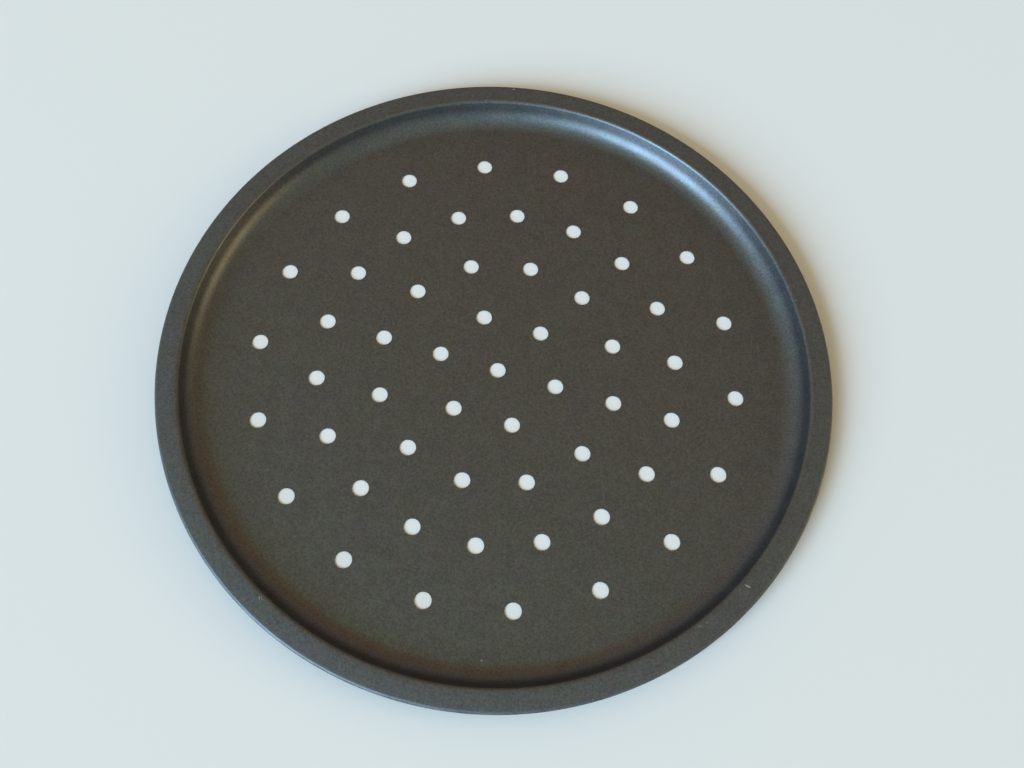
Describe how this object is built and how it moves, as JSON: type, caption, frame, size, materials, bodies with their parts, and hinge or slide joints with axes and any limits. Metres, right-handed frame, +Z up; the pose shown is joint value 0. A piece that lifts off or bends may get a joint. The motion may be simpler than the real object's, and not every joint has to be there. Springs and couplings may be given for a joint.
{
  "type": "perforated pizza pan",
  "caption": "Round shallow pizza pan of dark coated steel sheet, with rings of vent holes in the flat base, a low flared wall and a flat rim whose edge is rolled over a wire.",
  "frame": {"origin": "middle of the underside of the base, on the surface the pan stands on", "axes": "+Z up along the pan's axis, +X through a vent hole of the three inner rings"},
  "size_m": [0.332, 0.332, 0.0112],
  "materials": {
    "coated_sheet": "satin dark grey non-stick coating with a fine grain",
    "rim_wire_steel": "drawn mild steel wire"
  },
  "bodies": {
    "root": {"pan_shell": "coated_sheet", "rim_wire": "rim_wire_steel"}
  },
  "joints": []
}
